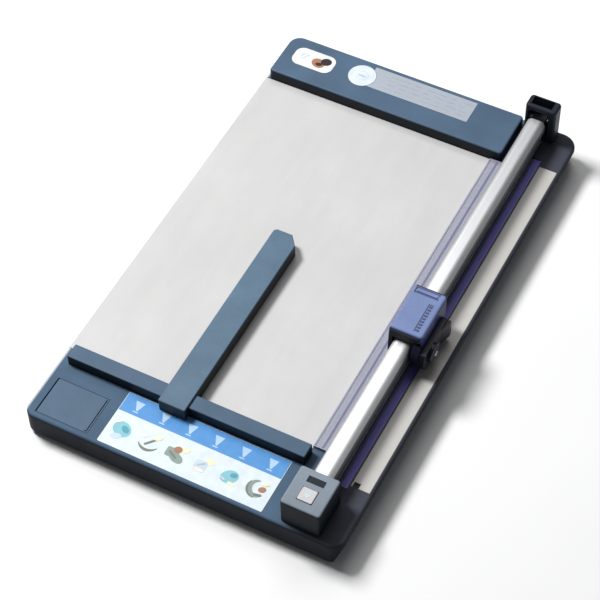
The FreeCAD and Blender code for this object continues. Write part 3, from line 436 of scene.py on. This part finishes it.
def prism(name, outline, low, tall, material, body="base", soften=0.0):
    """A closed upright prism over an outline, in metres, that rides on a body."""
    maker = bmesh.new()
    base = [maker.verts.new((x, y, low)) for x, y in outline]
    floor = maker.faces.new(base)
    lifted = bmesh.ops.extrude_face_region(maker, geom=[floor])["geom"]
    lid = [thing for thing in lifted if isinstance(thing, bmesh.types.BMVert)]
    bmesh.ops.translate(maker, verts=lid, vec=(0, 0, tall))
    bmesh.ops.recalc_face_normals(maker, faces=maker.faces)
    if soften:
        edges = [edge for edge in maker.edges if all(vertex in lid for vertex in edge.verts)]
        bmesh.ops.bevel(maker, geom=edges, offset=soften, segments=3, affect="EDGES", profile=0.5)
    mesh = bpy.data.meshes.new(name)
    maker.to_mesh(mesh)
    maker.free()
    piece = bpy.data.objects.new(name, mesh)
    bpy.context.scene.collection.objects.link(piece)
    mesh.materials.append(material)
    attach(piece, body)
    return piece


def printed(name, outline, surface, material, layer=1, body="base"):
    """One patch of ink, a hair above a surface; later layers lie on earlier ones."""
    millimetres = [(x * MM, y * MM) for x, y in outline]
    return prism(name, millimetres, surface + FILM * (layer - 1), FILM, material, body)


def ink(name, colour, roughness=0.35):
    return film_material(f"ink_{name}", colour, roughness)


INKS = {
    "header": ink("header", (0.075, 0.27, 0.60)),
    "header_pale": ink("header_pale", (0.40, 0.58, 0.80)),
    "teal": ink("teal", (0.22, 0.50, 0.58)),
    "teal_deep": ink("teal_deep", (0.08, 0.33, 0.40)),
    "olive": ink("olive", (0.17, 0.19, 0.16)),
    "grey_green": ink("grey_green", (0.24, 0.31, 0.28)),
    "rust": ink("rust", (0.36, 0.17, 0.09)),
    "straw": ink("straw", (0.80, 0.76, 0.55)),
    "blush": ink("blush", (0.85, 0.74, 0.70)),
    "mist": ink("mist", (0.52, 0.62, 0.70)),
    "coal": ink("coal", (0.025, 0.02, 0.025)),
    "foil_shade": ink("foil_shade", (0.30, 0.34, 0.40)),
    "violet": ink("violet", (0.15, 0.15, 0.28)),
    "seal_grey": ink("seal_grey", (0.40, 0.47, 0.58)),
}


ICON_SIZE = 1.22
ICON_RISE = 15.4        # middle of the pictograms above the label's front edge, in millimetres
HEADER_RISE = 30.0      # front edge of the label's header above the same edge
COLUMN_PITCH = 21.8
FIRST_COLUMN = 12.2


def icon_shapes(index, x, y):
    """The patches of one pictogram: (ink, outline) pairs around its middle, in millimetres."""
    shapes = [
        [("teal", ellipse(x - 0.5, y + 0.5, 6.2, 5.0, -25)),
         ("mist", ellipse(x - 1.6, y - 5.2, 3.4, 2.0, 20)),
         ("teal_deep", ellipse(x + 1.4, y + 1.2, 2.9, 1.9, -30)),
         ("blush", bar(x - 4.6, y + 4.6, 3.6, 1.0, 40))],
        [("olive", crescent(x + 0.5, y + 1.5, 7.2, 1.9, 215, 115)),
         ("olive", bar(x + 1.2, y + 0.4, 8.8, 1.5, 48)),
         ("straw", ellipse(x + 4.2, y + 4.4, 2.6, 1.6, 35)),
         ("blush", ellipse(x - 4.2, y + 2.5, 1.5, 1.1, 10))],
        [("grey_green", rounded(x - 6.0, y - 3.6, x + 2.2, y + 3.0, 1.2)),
         ("straw", ellipse(x + 3.9, y + 4.2, 3.6, 2.2, 25)),
         ("grey_green", ellipse(x + 1.6, y - 2.6, 5.0, 3.0, -20)),
         ("rust", ellipse(x + 0.4, y + 2.8, 2.6, 2.2, 15)),
         ("olive", bar(x - 1.0, y - 1.6, 7.0, 1.3, -28))],
        [("straw", ellipse(x + 3.2, y + 3.4, 3.8, 2.2, 30)),
         ("mist", rounded(x - 4.8, y - 3.8, x + 3.0, y + 2.8, 1.6)),
         ("blush", ellipse(x - 0.6, y - 3.9, 3.4, 1.2, 0)),
         ("seal_grey", bar(x - 0.8, y + 0.2, 5.2, 1.0, 35))],
        [("teal", ellipse(x, y, 5.6, 4.4, 30)),
         ("straw", ellipse(x + 3.0, y - 4.0, 2.6, 1.1, -10)),
         ("teal_deep", ellipse(x + 2.0, y + 1.8, 2.2, 1.7, 20)),
         ("mist", bar(x - 3.4, y - 2.6, 4.2, 1.2, -20))],
        [("grey_green", crescent(x + 0.6, y + 0.4, 5.2, 3.4, 100, 215)),
         ("rust", ellipse(x + 3.2, y + 0.6, 2.4, 1.9, 25)),
         ("olive", crescent(x + 0.6, y + 0.4, 6.6, 1.3, 150, 120)),
         ("straw", ellipse(x + 3.4, y + 4.6, 2.4, 1.2, 20)),
         ("olive", bar(x + 2.2, y - 3.6, 5.0, 1.4, 12))],
    ]
    grown = []
    for name, outline in shapes[index]:
        grown.append((name, [(x + (px - x) * ICON_SIZE, y + (py - y) * ICON_SIZE) for px, py in outline]))
    return grown


def make_front_prints():
    """The instruction label: a blue header with six pale marks, and six small pictograms below it."""
    low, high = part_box("front_label")
    left, right, front, back = (value / MM for value in (low[0], high[0], low[1], high[1]))
    face = high[2]
    header_front = front + HEADER_RISE
    edge = 0.35
    header = rounded(left + edge, header_front, right - edge, back - edge, 0.7)
    printed("label_header", header, face, INKS["header"])
    for index in range(6):
        x = left + FIRST_COLUMN + COLUMN_PITCH * index
        wedge = [(x - 3.6, header_front + 12.2), (x + 0.2, header_front + 4.2),
                 (x + 1.4, header_front + 4.2), (x + 3.9, header_front + 12.2)]
        printed(f"header_mark_{index + 1}", wedge, face, INKS["header_pale"], 2)
        foot = bar(x + 0.4, header_front + 3.0, 4.4, 1.0)
        printed(f"header_foot_{index + 1}", foot, face, INKS["header_pale"], 2)
        for count, (name, outline) in enumerate(icon_shapes(index, x, front + ICON_RISE), start=1):
            printed(f"pictogram_{index + 1}_{count}", outline, face, INKS[name], count)


def make_rear_prints():
    """The badge with its two dark blobs, the round seal, and the lines on the foil plate."""
    low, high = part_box("rear_badge")
    x, y = (low[0] + high[0]) / 2 / MM, (low[1] + high[1]) / 2 / MM
    face = high[2]
    printed("badge_blob_brown", ellipse(x + 4.6, y - 1.4, 6.0, 4.8, -18), face, INKS["rust"])
    printed("badge_blob_dark", ellipse(x + 10.2, y + 2.4, 4.6, 4.0, 20), face, INKS["coal"], 2)
    printed("badge_blob_core", ellipse(x + 5.6, y - 2.4, 2.8, 1.8, 10), face, INKS["coal"], 3)
    printed("badge_figure_arc", crescent(x - 8.2, y + 0.4, 3.6, 1.1, 20, 230), face, INKS["mist"])
    printed("badge_figure_bar", bar(x - 8.0, y + 0.6, 6.0, 0.8, 62), face, INKS["mist"], 2)
    low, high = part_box("rear_roundel")
    x, y = (low[0] + high[0]) / 2 / MM, (low[1] + high[1]) / 2 / MM
    printed("seal_ring", crescent(x, y, 5.0, 1.0, 200, 290), high[2], INKS["mist"])
    printed("seal_bar", bar(x, y - 0.2, 7.0, 1.3, 0), high[2], INKS["seal_grey"])
    low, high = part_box("rear_nameplate")
    left, front, back = (value / MM for value in (low[0], low[1], high[1]))
    face = high[2]
    pitch = (back - front) / 5
    for row in range(4):
        for column in range(7):
            start = left + 14 + column * 10.6 + (row % 2) * 1.8
            long = 8.6 - ((row + column) % 3) * 1.6
            line = bar(start + long / 2, front + pitch * (row + 1), long, 0.7)
            printed(f"foil_line_{row + 1}_{column + 1}", line, face, INKS["foil_shade"])


def make_strip_lines():
    """Two violet lines along the clear strip: one by its free edge and one over the grip pad."""
    strip_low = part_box("presser_strip")[0]
    pad_low, pad_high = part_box("presser_pad")
    front, back = pad_low[1] / MM, pad_high[1] / MM
    face = strip_low[2] + 1.7 * MM
    pad_wide = (pad_high[0] - pad_low[0]) / MM
    lines = (("edge", strip_low[0] / MM + 1.1, 0.7), ("pad", pad_low[0] / MM, pad_wide * 0.7))
    for name, left, wide in lines:
        outline = [(left, front), (left + wide, front), (left + wide, back), (left, back)]
        printed(f"strip_line_{name}", outline, face, INKS["violet"], body="clamp")


def make_pocket_shade():
    """Dark sheets of painted shade on the floors of the shallow pockets in the head and in the blue cap.
    """
    low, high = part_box("head_shell")
    outline = rounded(low[0] + 9.3 * MM, high[1] - 10.7 * MM,
                      high[0] - 8.5 * MM, high[1] - 6.0 * MM, 0.5 * MM)
    # painted shade: a near-black sheet on the head pocket's floor
    prism("head_pocket_painted_shade", outline, high[2] - 0.9 * MM, 0.15 * MM, POST_SLATE, "rail")
    low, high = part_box("carriage_housing")
    left, back = low[0] + 3.4 * MM, high[1]
    for name, front_gap, back_gap in (("front", 7.4 * MM, 5.6 * MM), ("back", 2.6 * MM, 0.9 * MM)):
        outline = rounded(left, back - front_gap, left + 19 * MM, back - back_gap, 0.3 * MM)
        # painted shade: deep blue sheets on the cap pocket floors
        prism(f"cap_pocket_painted_shade_{name}", outline, high[2] - 0.8 * MM, 0.12 * MM, CAP_DEEP, "press")


def make_button_mark():
    """A plain moulded arrow and two ribs on the release button."""
    low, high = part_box("release_button")
    x, y, face = (low[0] + high[0]) / 2 / MM, low[1] / MM + 5.5, high[2]
    arrow = [(x - 2.6, y + 0.6), (x + 2.6, y + 0.6), (x, y - 2.6)]
    printed("button_arrow", arrow, face, INKS["mist"], body="button")
    for index, offset in enumerate((1.9, 3.2), start=1):
        printed(f"button_rib_{index}", bar(x, y + offset, 5.6, 0.6), face, INKS["mist"], body="button")


def make_cap_marks():
    """Small raised grip bars along the right of the blue cap, in place of any lettering."""
    low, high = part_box("carriage_housing")
    x = high[0] / MM - 9.1
    first = low[1] / MM + 5.2
    bed = high[2] - 0.6 * MM
    for index in range(9):
        y = (first + 2.9 * index) * MM
        outline = rounded((x + 0.75) * MM, y, (x + 3.35) * MM, y + 1.5 * MM, 0.35 * MM)
        prism(f"cap_grip_{index + 1}", outline, bed, 0.5 * MM, CAP_DEEP, "press", 0.12 * MM)


def make_springs():
    """Coils with the CAD shape, copied onto their bodies in place of the CAD parts."""
    springs = (
        ("clamp_springs", "rail", "clamp_press", 2, 1),
        ("button_springs", "rail", "button_press", 2, 0),
        ("latch_spring", "rail", "latch_slide", 1, 0),
        ("press_springs", "carriage", "blade_press", 2, 0),
    )
    for node, body, joint, axis, fixed_end in springs:
        piece = bpy.data.objects.new(f"{node}_coils", NODES[node].data.copy())
        bpy.context.scene.collection.objects.link(piece)
        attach(piece, body)
        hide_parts(node)
        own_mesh(piece)


make_springs()
make_front_prints()
make_rear_prints()
make_strip_lines()
make_pocket_shade()
make_button_mark()
make_cap_marks()


# ---------------------------------------------------------------- camera, floor and light
VIEW_AZIMUTH, VIEW_ELEVATION, VIEW_ROLL = 28.71, 52.23, -1.54
LENS = 118.94
CAMERA_AWAY, CAMERA_RIGHT, CAMERA_UP = 1.52389, -0.01029, -0.01095
LIGHTS = (
    # name, direction, distance, size, power
    ("key", (-0.54, 0.06, 0.84), 2.2, 0.6, 58),
    ("top_fill", (-0.2, 0.5, 1.0), 2.4, 1.6, 15),
)


def aim(azimuth, elevation):
    """Unit vectors to the right, up and back of a camera that looks at the object."""
    a, e = math.radians(azimuth), math.radians(elevation)
    back = Vector((math.sin(a) * math.cos(e), -math.cos(a) * math.cos(e), math.sin(e)))
    right = Vector((math.cos(a), math.sin(a), 0))
    return right, back.cross(right), back


def make_camera():
    right, up, back = aim(VIEW_AZIMUTH, VIEW_ELEVATION)
    roll = math.radians(VIEW_ROLL)
    level_right, level_up = right, up
    right = level_right * math.cos(roll) + level_up * math.sin(roll)
    up = level_up * math.cos(roll) - level_right * math.sin(roll)
    data = bpy.data.cameras.new("camera")
    data.sensor_width = 36
    data.lens = LENS
    data.clip_start, data.clip_end = 0.05, 20
    camera = bpy.data.objects.new("camera", data)
    bpy.context.scene.collection.objects.link(camera)
    spot = back * CAMERA_AWAY + right * CAMERA_RIGHT + up * CAMERA_UP
    camera.matrix_world = Matrix((
        (right.x, up.x, back.x, spot.x), (right.y, up.y, back.y, spot.y),
        (right.z, up.z, back.z, spot.z), (0, 0, 0, 1)))
    bpy.context.scene.camera = camera


def make_floor():
    mesh = bpy.data.meshes.new("floor")
    half = 6.0
    corners = [(-half, -half, 0), (half, -half, 0), (half, half, 0), (-half, half, 0)]
    mesh.from_pydata(corners, [], [(0, 1, 2, 3)])
    floor = bpy.data.objects.new("floor", mesh)
    bpy.context.scene.collection.objects.link(floor)
    shade = Shade("floor_paper", 0.9)
    shade.colour(shade.ramp(shade.noise(3, 2), [(0.3, (0.83, 0.83, 0.83)), (0.7, (0.86, 0.86, 0.86))]))
    mesh.materials.append(shade.material)


def area_light(name, direction, distance, size, power):
    """A soft box that shines at the middle of the object from a direction."""
    data = bpy.data.lights.new(name, "AREA")
    data.shape = "DISK"
    data.size = size
    data.energy = power
    light = bpy.data.objects.new(name, data)
    bpy.context.scene.collection.objects.link(light)
    way = Vector(direction).normalized()
    light.location = way * distance
    light.rotation_mode = "QUATERNION"
    light.rotation_quaternion = (-way).to_track_quat("-Z", "Y").copy()


def make_light():
    world = bpy.data.worlds.new("studio")
    bpy.context.scene.world = world
    world.use_nodes = True
    world.node_tree.nodes["Background"].inputs["Color"].default_value = (0.95, 0.97, 1.0, 1)
    world.node_tree.nodes["Background"].inputs["Strength"].default_value = 0.12
    for settings in LIGHTS:
        area_light(*settings)
    bpy.context.scene.view_settings.view_transform = "Standard"


make_camera()
make_floor()
make_light()
